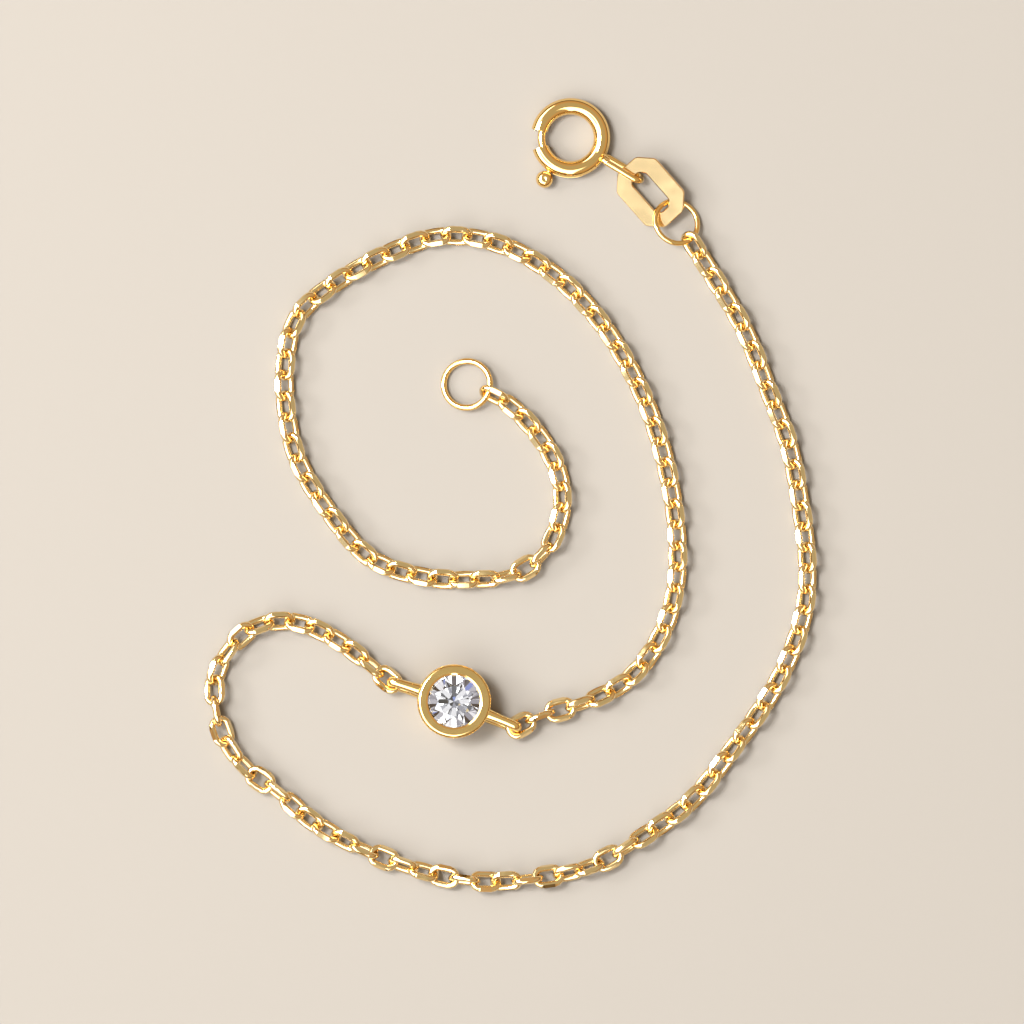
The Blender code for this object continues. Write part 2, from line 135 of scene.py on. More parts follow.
def joinShells(shells):
    # several closed shells as one list of points and one of faces, numbered on from shell to shell
    points, faces, start = [], [], 0
    for shellPoints, shellFaces in shells:
        shellPoints = shellPoints.reshape(-1, 3)
        points.append(shellPoints)
        faces += [[v + start for v in face] for face in shellFaces]
        start += len(shellPoints)
    return np.concatenate(points), faces


def addMesh(name, points, faces, material, sharpness=30):
    # an object at the origin, its faces outward, smooth but for edges that turn by more than the sharpness
    mesh = bpy.data.meshes.new(name)
    mesh.from_pydata(points.reshape(-1, 3).tolist(), [], faces)
    work = bmesh.new()
    work.from_mesh(mesh)
    bmesh.ops.recalc_face_normals(work, faces=work.faces)
    work.to_mesh(mesh)
    work.free()
    mesh.shade_smooth()
    mesh.set_sharp_from_angle(angle=radians(sharpness))
    piece = bpy.data.objects.new(name, mesh)
    bpy.context.collection.objects.link(piece)
    mesh.materials.append(material)
    return piece


def placePiece(piece, body, node):
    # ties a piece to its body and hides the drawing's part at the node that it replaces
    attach(piece, body)
    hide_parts(node)
    print("made", piece.name, len(piece.data.polygons), "faces")


# each gold's colour, its least and most roughness, the wear's fineness and how deep it ripples the polish
golds = {
    "chainGold": {"colour": (0.91, 0.68, 0.34), "low": 0.04, "high": 0.1, "scale": 2500, "ripple": 1e-6},
    "ringGold": {"colour": (0.95, 0.65, 0.25), "low": 0.03, "high": 0.07, "scale": 1500, "ripple": 2e-6},
    "plateGold": {"colour": (0.97, 0.72, 0.37), "low": 0.12, "high": 0.15, "scale": 1200, "ripple": 3e-7},
    "settingGold": {"colour": (0.94, 0.67, 0.27), "low": 0.05, "high": 0.1, "scale": 1500, "ripple": 2e-6},
}
# what the wear starts from before a gold sets its own, the noise in it, and its strength as a bump
wear = {
    "scale": 900.0, "low": 0.1, "high": 0.2,
    "detail": 3, "noiseLow": 0.35, "noiseHigh": 0.65, "bump": 0.3,
}
diamond = {"colour": (1, 1, 1), "roughness": 0.0, "bend": 2.417}


def polishWear():
    # a group that turns place on the piece into an uneven roughness and a faint hand-polished ripple:
    # roughness = low + (high - low) * noise between its low and high, ripple = noise
    group = bpy.data.node_groups.new("polishWear", "ShaderNodeTree")
    for name in ("Scale", "Low", "High"):
        socket = group.interface.new_socket(name, in_out="INPUT", socket_type="NodeSocketFloat")
        socket.default_value = wear[name.lower()]
    group.interface.new_socket("Roughness", in_out="OUTPUT", socket_type="NodeSocketFloat")
    group.interface.new_socket("Ripple", in_out="OUTPUT", socket_type="NodeSocketFloat")
    nodes, links = group.nodes, group.links
    entry = nodes.new("NodeGroupInput")
    leave = nodes.new("NodeGroupOutput")
    place = nodes.new("ShaderNodeTexCoord")
    noise = nodes.new("ShaderNodeTexNoise")
    noise.inputs["Detail"].default_value = wear["detail"]
    spread = nodes.new("ShaderNodeMapRange")
    spread.inputs["From Min"].default_value = wear["noiseLow"]
    spread.inputs["From Max"].default_value = wear["noiseHigh"]
    links.new(place.outputs["Object"], noise.inputs["Vector"])
    links.new(entry.outputs["Scale"], noise.inputs["Scale"])
    links.new(noise.outputs["Fac"], spread.inputs["Value"])
    links.new(entry.outputs["Low"], spread.inputs["To Min"])
    links.new(entry.outputs["High"], spread.inputs["To Max"])
    links.new(spread.outputs["Result"], leave.inputs["Roughness"])
    links.new(noise.outputs["Fac"], leave.inputs["Ripple"])


def goldMaterial(name):
    # bare metal, with the wear's roughness and its ripple as a bump
    gold = golds[name]
    material = bpy.data.materials.new(name)
    material.use_nodes = True
    nodes, links = material.node_tree.nodes, material.node_tree.links
    shader = nodes["Principled BSDF"]
    shader.inputs["Base Color"].default_value = (*gold["colour"], 1)
    shader.inputs["Metallic"].default_value = 1.0
    polish = nodes.new("ShaderNodeGroup")
    polish.node_tree = bpy.data.node_groups["polishWear"]
    polish.inputs["Scale"].default_value = gold["scale"]
    polish.inputs["Low"].default_value = gold["low"]
    polish.inputs["High"].default_value = gold["high"]
    bump = nodes.new("ShaderNodeBump")
    bump.inputs["Strength"].default_value = wear["bump"]
    bump.inputs["Distance"].default_value = gold["ripple"]
    links.new(polish.outputs["Roughness"], shader.inputs["Roughness"])
    links.new(polish.outputs["Ripple"], bump.inputs["Height"])
    links.new(bump.outputs["Normal"], shader.inputs["Normal"])
    return material


def diamondMaterial():
    # clear, and bending light as diamond does
    material = bpy.data.materials.new("diamond")
    material.use_nodes = True
    shader = material.node_tree.nodes["Principled BSDF"]
    shader.inputs["Base Color"].default_value = (*diamond["colour"], 1)
    shader.inputs["Roughness"].default_value = diamond["roughness"]
    shader.inputs["IOR"].default_value = diamond["bend"]
    shader.inputs["Transmission Weight"].default_value = 1.0
    return material


chain = {
    "pitch": 0.0012, "halfLength": 0.00077, "halfWidth": 0.00048, "roll": 40,
    # the wire at a link's ends and along its sides
    "wire": 0.000172, "sideWire": 0.000195,
    # the flat cut along each side: its tilt, the share of the wire left, and the least half angle it spans
    "cutTilt": 37, "cutDepth": 0.8, "cutLeast": 9,
    # how far a link rolls and nods on its neighbours, and how fast that changes along the strand
    "swayRoll": 3.5, "rollPace": 2.1, "rollDrift": 0.37, "swayNod": 1.5, "nodPace": 1.3, "nodStart": 1,
    "bendPoints": 9, "sidePoints": 1, "sectionPoints": 12, "routeSteps": 40, "sharpness": 36,
}
# a few points along each strand, in the drawing's own place
claspSideRoute = np.array([
    (0.0116, 0.0120), (0.01315, 0.0093), (0.0144, 0.0061), (0.0156, 0.0029),
    (0.01625, -0.00045), (0.01665, -0.00385), (0.01645, -0.00665), (0.01555, -0.00935),
    (0.0142, -0.01185), (0.0122, -0.01465), (0.0101, -0.0173), (0.00735, -0.01935),
    (0.0044, -0.02105), (0.00105, -0.02175), (-0.00235, -0.0219), (-0.0057, -0.0212),
    (-0.0088, -0.02), (-0.0113, -0.01865), (-0.0135, -0.0168), (-0.0151, -0.01565),
    (-0.01635, -0.0141), (-0.01695, -0.0122), (-0.017, -0.0102), (-0.01605, -0.0085),
    (-0.0145, -0.0073), (-0.01225, -0.0072), (-0.0097, -0.00845),
])
endSideRoute = np.array([
    (0.00145, -0.0125), (0.0042, -0.0117), (0.00665, -0.0103), (0.0083, -0.008),
    (0.00915, -0.0053), (0.00925, -0.00245), (0.0088, 0.0009), (0.0079, 0.0042),
    (0.0065, 0.00735), (0.00465, 0.0102), (0.00225, 0.0126), (-0.00075, 0.0143),
    (-0.0041, 0.0148), (-0.0073, 0.01375), (-0.0103, 0.01205), (-0.0124, 0.01015),
    (-0.01305, 0.00745), (-0.01295, 0.0046), (-0.01225, 0.00185), (-0.01045, -0.00105),
    (-0.00815, -0.0036), (-0.00495, -0.00465), (-0.0021, -0.00475), (-0.0004, -0.0046),
    (0.0011, -0.00385), (0.00215, -0.00255), (0.00275, -0.00035), (0.0023, 0.0019),
    (0.0011, 0.0038), (-0.0003, 0.0052),
])
# the roll of each link that turned over, by its number from the start of the strand
claspSideTurned = {
    34: 106, 35: -8, 36: 60, 37: 126, 38: 12, 39: 78, 40: -40, 41: 30, 42: 98, 43: -18,
    44: 50, 45: 114, 46: 4, 47: 70, 48: -48, 52: 106, 53: -8, 54: 60, 55: 126, 56: 16,
    57: 86, 58: -30, 59: 46, 60: 116, 61: 28, 62: -50, 68: -66, 69: -4,
}
endSideTurned = {
    1: 0, 2: 88, 3: 4, 4: 70, 59: -44, 60: 46, 61: 112, 62: 0, 63: 72, 64: -36,
    65: 40, 66: -40, 67: 40, 68: -40, 69: 40, 70: -40, 71: 40, 72: -58,
}


def smoothRoute(points):
    # a curve through the points whose slope at each is half the step between its neighbours
    ends = np.vstack([2 * points[0] - points[1], points, 2 * points[-1] - points[-2]])
    a, b, c, d = (ends[k:len(ends) - 3 + k, None] for k in range(4))
    t = np.linspace(0, 1, chain["routeSteps"], endpoint=False)[None, :, None]
    square = (2 * a - 5 * b + 4 * c - d) * t ** 2
    cube = (3 * b - a - 3 * c + d) * t ** 3
    curve = 0.5 * (2 * b + (c - a) * t + square + cube)
    return np.vstack([curve.reshape(-1, 2), points[-1]])


def linkShape():
    # a wire along two half circles and two straight runs, thicker along the runs. A slanting plane cuts a
    # flat along the top of each run: the section's chord goes from middle - spread to middle + spread, with
    # cos(spread) = the plane's distance from the wire's middle / the wire, and the rest is an even arc
    half = chain["halfWidth"]
    straight = chain["halfLength"] - half
    bend = np.linspace(-pi / 2, pi / 2, chain["bendPoints"])
    right = np.stack([straight + half * np.cos(bend), half * np.sin(bend)], axis=-1)
    inner = np.linspace(straight, -straight, chain["sidePoints"] + 2)[1:-1]
    top = np.stack([inner, np.full_like(inner, half)], axis=-1)
    path = np.vstack([right, top, -right, -top])
    outRight = np.stack([np.cos(bend), np.sin(bend)], axis=-1)
    outTop = np.tile([0.0, 1.0], (len(inner), 1))
    outward = np.vstack([outRight, outTop, -outRight, -outTop])
    reach = np.abs(path[:, 1])
    wire = chain["wire"] + (chain["sideWire"] - chain["wire"]) * (reach / half) ** 2
    tilt = radians(chain["cutTilt"])
    cut = half * cos(tilt) + chain["sideWire"] * chain["cutDepth"]
    lean = np.abs(outward[:, 1]) * cos(tilt)
    middle = np.arctan2(sin(tilt), lean)
    depth = (cut - reach * cos(tilt)) / np.hypot(lean, sin(tilt))
    spread = np.arccos(np.clip(depth / wire, 0, cos(radians(chain["cutLeast"]))))
    steps = chain["sectionPoints"] - 1
    turns = (middle + spread)[:, None] + np.arange(steps + 1) * ((2 * pi - 2 * spread) / steps)[:, None]
    section = wire[:, None, None] * np.stack([np.cos(turns), np.sin(turns)], axis=-1)
    flat = np.zeros((len(path), 1))
    points = sweep(np.hstack([path, flat]), np.hstack([outward, flat]), upright, section)
    return points.reshape(-1, 3), gridFaces(len(path), steps + 1)


def strandLinks(start, route, finish, turned, firstRoll, shift, shape):
    # middle and axes of each link: the links meet at evenly spaced points of the curve, and a link's middle
    # is halfway between its two
    curve = smoothRoute(np.vstack([start[:2], route, finish[:2]]))
    lengths = np.concatenate([[0], np.cumsum(np.linalg.norm(np.diff(curve, axis=0), axis=1))])
    count = round(lengths[-1] / chain["pitch"])
    stops = np.linspace(0, lengths[-1], count + 1)
    number = np.arange(count)
    rolls = firstRoll * (-1.0) ** number
    rolls[np.array(list(turned)) - 1] = list(turned.values())
    # a link sways a little on its neighbours, so that its flat catches the light in its own way
    sway = np.sin(number * chain["rollPace"]) * np.cos(number * chain["rollDrift"])
    rolls = np.radians(rolls + chain["swayRoll"] * sway)
    nod = np.radians(chain["swayNod"]) * np.sin(number * chain["nodPace"] + chain["nodStart"])
    # two links meet at the height that the higher of them needs to clear the table by twice the gap
    drop = shape[:, 1] * np.sin(rolls)[:, None] + shape[:, 2] * np.cos(rolls)[:, None]
    rises = floorGap * 2 - drop.min(axis=1)
    heights = np.maximum(np.append(rises, 0), np.insert(rises, 0, 0))
    heights[0] = max(heights[0], start[2])
    heights[-1] = max(heights[-1], finish[2])
    across = np.interp(stops, lengths, curve[:, 0])
    deep = np.interp(stops, lengths, curve[:, 1])
    joints = np.stack([across, deep, heights], axis=-1) + shift
    along = unit(np.diff(joints, axis=0))
    level = unit(np.cross(upright, along))
    along = unit(along + upright * nod[:, None])
    side = level * np.cos(rolls)[:, None] + np.cross(along, level) * np.sin(rolls)[:, None]
    axes = np.stack([along, side, np.cross(along, side)], axis=1)
    return (joints[1:] + joints[:-1]) / 2, axes


def makeChain(name, start, route, finish, turned, firstRoll, shift, material):
    # one link's shape, copied to each place: point = middle + along * x + side * y + normal * z
    points, faces = linkShape()
    middles, axes = strandLinks(start, route, finish, turned, firstRoll, shift, points)
    placed = np.einsum("vk,nkx->nvx", points, axes) + middles[:, None]
    # a link that the slope between its neighbours brings under the table is lifted onto it
    placed[..., 2] += np.maximum(floorGap + shift[2] - placed[..., 2].min(axis=1), 0)[:, None]
    allFaces = faces[None] + (np.arange(len(middles)) * len(points))[:, None, None]
    print(name, "has", len(middles), "links")
    return addMesh(name, placed, allFaces.reshape(-1, 4).tolist(), material, sharpness=chain["sharpness"])


# the jump ring at the tag leans on it, high at one heading, and holds the chain at another
tagRing = {
    "centre": (0.0092, 0.01556), "radius": 0.00127, "wire": 0.000155, "high": 222, "lean": 25, "exit": -52,
}
# the end ring lies flat but for the side that the chain lifts
endRing = {"centre": (-0.00271, 0.00634), "radius": 0.00133, "wire": 0.00018, "exit": -22, "lift": 0.0006}
jumpRing = {"turns": 72, "sides": 16, "hookGap": 0.00004}


def ringFrame(centre, lean, high, z):
    # a ring's middle and its plane's axes: one climbs by the lean towards the high side, the other is level
    out = heading(high)
    along = out * cos(radians(lean)) + upright * sin(radians(lean))
    return np.array([centre[0], centre[1], z]), along, np.cross(upright, out)


def tagRingFrame():
    # the middle's height = half of the ring's climb + its wire + the gap
    sag = tagRing["radius"] * sin(radians(tagRing["lean"]))
    return ringFrame(tagRing["centre"], tagRing["lean"], tagRing["high"], sag + tagRing["wire"] + floorGap)


def endRingFrame():
    # lean = the lifted side's rise / the ring's width, as an angle
    low = endRing["wire"] + floorGap
    lean = (endRing["lift"] - low) / (2 * endRing["radius"]) * 180 / pi
    return ringFrame(endRing["centre"], lean, endRing["exit"], (endRing["lift"] + low) / 2)


def hook(pin, neighbour, wire):
    # where a link's end touches the far side of the wire that it goes round: pin + away * (wire + gap)
    away = unit(np.array([pin[0] - neighbour[0], pin[1] - neighbour[1], 0.0]))
    return pin + away * (wire + jumpRing["hookGap"])


def ringHook(sizes, ring, neighbour):
    # the pin is the middle of the leaning ring's wire where it lies at the exit's heading
    middle, along, side = ring
    out = heading(sizes["exit"])
    share = unit(np.array([out @ along / (along[:2] @ along[:2]), out @ side]))
    pin = middle + (along * share[0] + side * share[1]) * sizes["radius"]
    return hook(pin, neighbour, sizes["wire"])


def makeRing(name, sizes, ring, shift, material):
    # point = middle + outward * (radius + wire * cos) + normal * wire * sin
    middle, along, side = ring
    turns = (np.arange(jumpRing["turns"]) * 2 * pi / jumpRing["turns"])[:, None]
    outward = along * np.cos(turns) + side * np.sin(turns)
    path = middle + shift + outward * sizes["radius"]
    section = circle(sizes["wire"], jumpRing["sides"])
    points, faces = closedTube(path, outward, np.cross(along, side), section)
    return addMesh(name, points, faces, material)


clasp = {
    "centre": (0.00318, 0.02037), "radius": 0.0018, "tube": 0.00048, "wall": 0.00008,
    # headings round the ring: open gap, the bore's blind end and the lever's slot; and the socket's length
    "gapStart": 167, "gapEnd": 198, "boreEnd": 306, "slotStart": 230, "slotEnd": 288, "socket": 16,
    # half of the slot's width round the tube, where the rest of the tube's section starts, and its points
    "slotHalf": 15, "skinStart": 30, "skinPoints": 21,
    # how far the tube's mouths are drawn in, and the step round the ring
    "mouth": 0.985, "step": 3.0, "sharpness": 40,
}
eye = {
    "angle": -31, "reach": 0.00485, "wire": 0.000185, "rise": 0.00044, "lean": 22, "turns": 56, "sides": 14,
    # where the eye and its solder start, outwards from the tube's middle, as shares of the tube
    "sink": 0.7, "footSink": 0.6,
    # the solder's length past the tube, its flare, its height as a share of its width, and its lift
    "foot": 0.0003, "flare": 1.1, "footHeight": 1.1, "footLift": 0.00004, "footRows": 7, "footSides": 16,
}


def claspCentre(shift):
    # the ring's centre, with the tube lying on the table
    return np.array([*clasp["centre"], clasp["tube"] + floorGap]) + shift


def ovalPath(middle, along, side, halfLength, halfWidth, count):
    # a long oval: half circles at the ends and straight runs between
    turns = (np.arange(count) + 0.5) * 2 * pi / count
    run = np.sign(np.cos(turns)) * (halfLength - halfWidth) + np.cos(turns) * halfWidth
    climb = np.sin(turns) * halfWidth
    path = middle + along * run[:, None] + side * climb[:, None]
    outward = along * np.cos(turns)[:, None] + side * np.sin(turns)[:, None]
    return path, outward


def claspStops():
    # headings of the tube's rows: even steps, and one at each end of the slot, the bore and the socket
    full = 360 + clasp["gapStart"]
    even = np.arange(clasp["gapEnd"], full, clasp["step"])
    ends = [clasp["slotStart"], clasp["slotEnd"], clasp["boreEnd"], full - clasp["socket"], full]
    return np.unique(np.concatenate([even, ends]))


def claspSkins(shift, stops):
    # outer and inner skin: point = centre + heading * (radius + size * cos) + up * size * sin, where the size
    # is the tube's radius, drawn in at the mouths, and the tube's radius less its wall
    rest = np.linspace(clasp["skinStart"], 360 - clasp["skinStart"], clasp["skinPoints"])
    around = np.radians(np.concatenate([[-clasp["slotHalf"], clasp["slotHalf"]], rest]))
    section = np.stack([np.cos(around), np.sin(around)], axis=-1)
    outward = headings(np.radians(stops))
    path = claspCentre(shift) + outward * clasp["radius"]
    size = np.full(len(stops), clasp["tube"])
    size[[0, -1]] *= clasp["mouth"]
    outer = sweep(path, outward, upright, section[None] * size[:, None, None])
    inner = sweep(path, outward, upright, section * (clasp["tube"] - clasp["wall"]))
    return np.stack([outer, inner])


def claspFaces(stops, columns):
    # quads of the outer skin but for the slot, and of the inner skin where the ring is hollow; walls between
    # the skins along the slot and at both mouths; and a plug where each hollow ends
    rows = len(stops)
    under = rows * columns
    socket = 360 + clasp["gapStart"] - clasp["socket"]
    faces = gridFaces(rows, columns, closedRows=False)
    stop = stops[faces[:, 0] // columns]
    inSlot = (faces[:, 0] % columns == 0) & (stop >= clasp["slotStart"]) & (stop < clasp["slotEnd"])
    hollow = (stop < clasp["boreEnd"]) | (stop >= socket)
    low = np.flatnonzero((stops >= clasp["slotStart"]) & (stops < clasp["slotEnd"]))[:, None] * columns
    high = low + 1
    slotSides = np.concatenate([
        np.hstack([low, low + under, low + columns + under, low + columns]),
        np.hstack([high, high + columns, high + columns + under, high + under]),
    ])
    slotEnds = np.array([[k, k + 1, k + 1 + under, k + under] for k in (low[0, 0], low[-1, 0] + columns)])
    here = np.arange(columns)
    after = (here + 1) % columns
    mouths = np.concatenate([
        np.stack([k + here, k + after, k + after + under, k + here + under], axis=-1)
        for k in (0, (rows - 1) * columns)
    ])
    quads = np.concatenate([faces[~inSlot], faces[hollow & ~inSlot] + under, slotSides, slotEnds, mouths])
    plugRows = [int(np.flatnonzero(stops == stop)[0]) for stop in (clasp["boreEnd"], socket)]
    return quads.tolist() + [(under + row * columns + here).tolist() for row in plugRows]


def claspTube(shift):
    # both skins as one shell, without the inner points that no face uses
    stops = claspStops()
    skins = claspSkins(shift, stops)
    faces = claspFaces(stops, skins.shape[2])
    points = skins.reshape(-1, 3)
    used = np.unique(np.concatenate([np.ravel(face) for face in faces]))
    renumber = np.zeros(len(points), int)
    renumber[used] = np.arange(len(used))
    return points[used], [renumber[face].tolist() for face in faces]


def claspEye(shift):
    # an upright oval of wire, sunk a little into the tube and leaning to one side
    along = heading(eye["angle"])
    up = leaned(along, eye["lean"])
    near = clasp["radius"] + eye["sink"] * clasp["tube"]
    far = eye["reach"] - eye["wire"]
    height = eye["rise"] + eye["wire"] + floorGap
    middle = polar(clasp["centre"], (near + far) / 2, eye["angle"], height) + shift
    path, outward = ovalPath(middle, along, up, (far - near) / 2, eye["rise"], eye["turns"])
    return closedTube(path, outward, np.cross(along, up), circle(eye["wire"], eye["sides"]))


def eyeSolder(shift):
    # a short foot between tube and eye: width = wire * (1 + flare * (share of the way left) squared)
    along = heading(eye["angle"])
    up = leaned(along, eye["lean"])
    inside = clasp["radius"] + clasp["tube"] * eye["footSink"]
    outside = clasp["radius"] + clasp["tube"] + eye["foot"]
    reach = np.linspace(inside, outside, eye["footRows"])
    width = eye["wire"] * (1 + eye["flare"] * np.linspace(1, 0, eye["footRows"]) ** 2)
    section = circle(1.0, eye["footSides"])[None] * (width[:, None] * [1.0, eye["footHeight"]])[:, None, :]
    path = claspCentre(shift) + along * reach[:, None] + up * eye["footLift"]
    return cappedTube(path, np.cross(along, up), up, section)


def makeClasp(shift, material):
    # the tube, the eye and its solder as three shells of one piece
    points, faces = joinShells([claspTube(shift), claspEye(shift), eyeSolder(shift)])
    return addMesh("claspTube", points, faces, material, sharpness=clasp["sharpness"])


gate = {
    # the wire runs from its tip, in the socket, over the gap to its tail in the bore
    "radius": 0.001645, "wire": 0.000225, "tip": 158, "tail": 244, "rows": 40, "sides": 16,
    # the stem ends inside the knob, by a share of the knob
    "stem": 0.00015, "stemSink": 0.5, "stemSides": 12,
    # the knob's height and its dimple's depth and width, as shares of its radius
    "knobAngle": 238, "knobReach": 0.00278, "knob": 0.00049, "knobFlat": 0.86,
    "dimple": 0.2, "dimpleWidth": 0.5, "knobRows": 23, "knobSides": 28,
}


def makeGate(shift, material):
    # the gap's wire: centre + heading * (radius + wire * cos) + up * wire * sin, and the lever on it
    centre = claspCentre(shift)
    outward = headings(np.radians(np.linspace(gate["tip"], gate["tail"], gate["rows"])))
    path = centre + outward * gate["radius"]
    wire = cappedTube(path, outward, upright, circle(gate["wire"], gate["sides"]))
    # the stem leads out of the slot to the knob
    out = heading(gate["knobAngle"])
    across = np.cross(out, upright)
    reach = np.array([gate["radius"], gate["knobReach"] - gate["knob"] * gate["stemSink"]])
    section = circle(gate["stem"], gate["stemSides"])
    stem = cappedTube(centre + out * reach[:, None], across, upright, section)
    # the knob: rings of radius knob * cos at height knob * (flat * sin - dip), with the dip at its top
    levels = np.linspace(-pi / 2, pi / 2, gate["knobRows"] + 2)[1:-1]
    size = np.cos(levels)
    dip = gate["dimple"] * np.clip(1 - size / gate["dimpleWidth"], 0, 1) ** 2 * (levels > 0)
    heights = (np.sin(levels) * gate["knobFlat"] - dip) * gate["knob"]
    path = centre + out * gate["knobReach"] + upright * heights[:, None]
    section = circle(1.0, gate["knobSides"])[None] * (size * gate["knob"])[:, None, None]
    points, faces = joinShells([wire, stem, cappedTube(path, out, across, section)])
    return addMesh("gateWire", points, faces, material)


tag = {
    "centre": (0.00774, 0.01728), "height": 0.0007, "angle": -48.7, "lean": 15,
    "length": 0.0041, "width": 0.00304, "chamfer": 0.0008, "round": 0.00016,
    "slotLength": 0.0026, "slotWidth": 0.00106, "slotChamfer": 0.0003, "slotRound": 0.0001,
    "thick": 0.00025, "bevel": 0.00005, "cornerPoints": 5, "sharpness": 20,
}


def roundedOctagon(halfLength, halfWidth, chamfer, roundness):
    # corners of a long octagon, each softened by a short curve that leaves its sides at the same distance:
    # point = start * (1 - t) squared + corner * 2 t (1 - t) + end * t squared
    x, y = halfLength - chamfer, halfWidth - chamfer
    corners = np.array([
        (halfLength, -y), (halfLength, y), (x, halfWidth), (-x, halfWidth),
        (-halfLength, y), (-halfLength, -y), (-x, -halfWidth), (x, -halfWidth),
    ])
    before = unit(np.roll(corners, 1, axis=0) - corners)[:, None]
    after = unit(np.roll(corners, -1, axis=0) - corners)[:, None]
    t = np.linspace(0, 1, tag["cornerPoints"])[None, :, None]
    start = corners[:, None] + before * roundness
    end = corners[:, None] + after * roundness
    return (start * (1 - t) ** 2 + 2 * corners[:, None] * t * (1 - t) + end * t ** 2).reshape(-1, 2)


def makeTag(shift, material):
    # a closed band between the slot's outline and the plate's, with bevelled edges, then leaned and turned:
    # each line of the band = outline + inward * step, at its own height
    outer = roundedOctagon(tag["length"] / 2, tag["width"] / 2, tag["chamfer"], tag["round"])
    inner = roundedOctagon(
        tag["slotLength"] / 2, tag["slotWidth"] / 2, tag["slotChamfer"], tag["slotRound"],
    )
    inward = unit(inner - outer)
    half, bevel = tag["thick"] / 2, tag["bevel"]
    bands = [
        (inner, 0, -half + bevel), (inner, 0, half - bevel), (inner, -bevel, half), (outer, bevel, half),
        (outer, 0, half - bevel), (outer, 0, -half + bevel), (outer, bevel, -half), (inner, -bevel, -half),
    ]
    local = np.stack([
        np.hstack([edge + inward * step, np.full((len(edge), 1), z)]) for edge, step, z in bands
    ], axis=1)
    lean, turn = radians(tag["lean"]), radians(tag["angle"])
    leanAxes = np.array([[1, 0, 0], [0, cos(lean), -sin(lean)], [0, sin(lean), cos(lean)]])
    turnAxes = np.array([[cos(turn), -sin(turn), 0], [sin(turn), cos(turn), 0], [0, 0, 1]])
    points = local @ (turnAxes @ leanAxes).T + np.array([*tag["centre"], tag["height"]]) + shift
    faces = gridFaces(len(outer), len(bands)).tolist()
    return addMesh("tagPlate", points, faces, material, sharpness=tag["sharpness"])


setting = {
    "centre": (-0.00343, -0.01172), "height": 0.00202,
    # radii of the foot, the belly, the rim, its flat top's inner edge and the hole over the stone
    "foot": 0.00172, "belly": 0.0021, "rim": 0.00197, "rimInner": 0.0016, "view": 0.00149, "bevel": 0.00005,
    # the belly's depth under the rim, and the soft edge about it
    "bellyDrop": 0.00018, "bellyEase": 0.00004, "bellyIn": 0.00001,
    # the shoulder between belly and rim, the rim's rounded edge and its bevel's second step
    "shoulder": 0.00004, "edgeDrop": 0.000014, "bevelEnd": 1.3,
    # depths under the rim at the hole: the lip's top, its underside and the crown; and the room left there
    "lipDrop": 0.000065, "lip": 0.00011, "lipSeat": 0.00009, "lipRoom": 0.0000625,
    # the groove round the girdle and the seat under it, from the stone's radius and the girdle's height
    "grooveRoom": 0.00005, "grooveAbove": 0.00009, "grooveBelow": 0.00003,
    "seatIn": 0.00023, "seatDrop": 0.00025,
    "segments": 128, "sharpness": 24,
}
bail = {
    "angles": (163, -22.6), "reaches": (0.00402, 0.00414), "wire": 0.00028, "rise": 0.0005, "lean": 8,
    # where the legs start in the cup's wall, how much thicker they are there and how soon that fades
    "root": 0.0019, "flare": 0.3, "flareLength": 0.0011, "flareFade": 1.5,
    # the bend's length as a share of the rise, and how square it is: 1 is round
    "nose": 0.8, "square": 0.55, "legPoints": 8, "bendPoints": 25, "sides": 18,
}


def girdleHeight():
    # the crown meets the lip at the hole:
    # girdle's foot = lip - girdle's own height - the crown's rise from its edge to the hole - the room left
    lip = setting["height"] - setting["lipSeat"]
    slope = tan(radians(stone["crown"]))
    return lip - stone["girdle"] - (stone["radius"] - setting["view"]) * slope - setting["lipRoom"]


def cupProfile():
    # radius and height of the cup's wall: up the outside, over the rim, down the lip, groove and seat
    low = girdleHeight()
    height, bevel, belly = setting["height"], setting["bevel"], setting["belly"]
    bellyHeight = height - setting["bellyDrop"]
    groove = stone["radius"] + setting["grooveRoom"]
    seat = stone["radius"] - setting["seatIn"]
    return np.array([
        (setting["foot"] - bevel, floorGap),
        (setting["foot"], floorGap + bevel),
        (belly - setting["bellyIn"], bellyHeight - setting["bellyEase"]),
        (belly, bellyHeight),
        (belly - setting["bellyIn"], bellyHeight + setting["bellyEase"]),
        (setting["rim"] + setting["shoulder"], height - setting["shoulder"]),
        (setting["rim"], height - setting["edgeDrop"]),
        (setting["rim"] - bevel, height),
        (setting["rim"] - bevel * setting["bevelEnd"], height),
        (setting["rimInner"], height),
        (setting["view"], height - setting["lipDrop"]),
        (setting["view"], height - setting["lip"]),
        (groove, low + setting["grooveAbove"]),
        (groove, low - setting["grooveBelow"]),
        (seat, low - setting["seatDrop"]),
        (seat, floorGap),
    ])


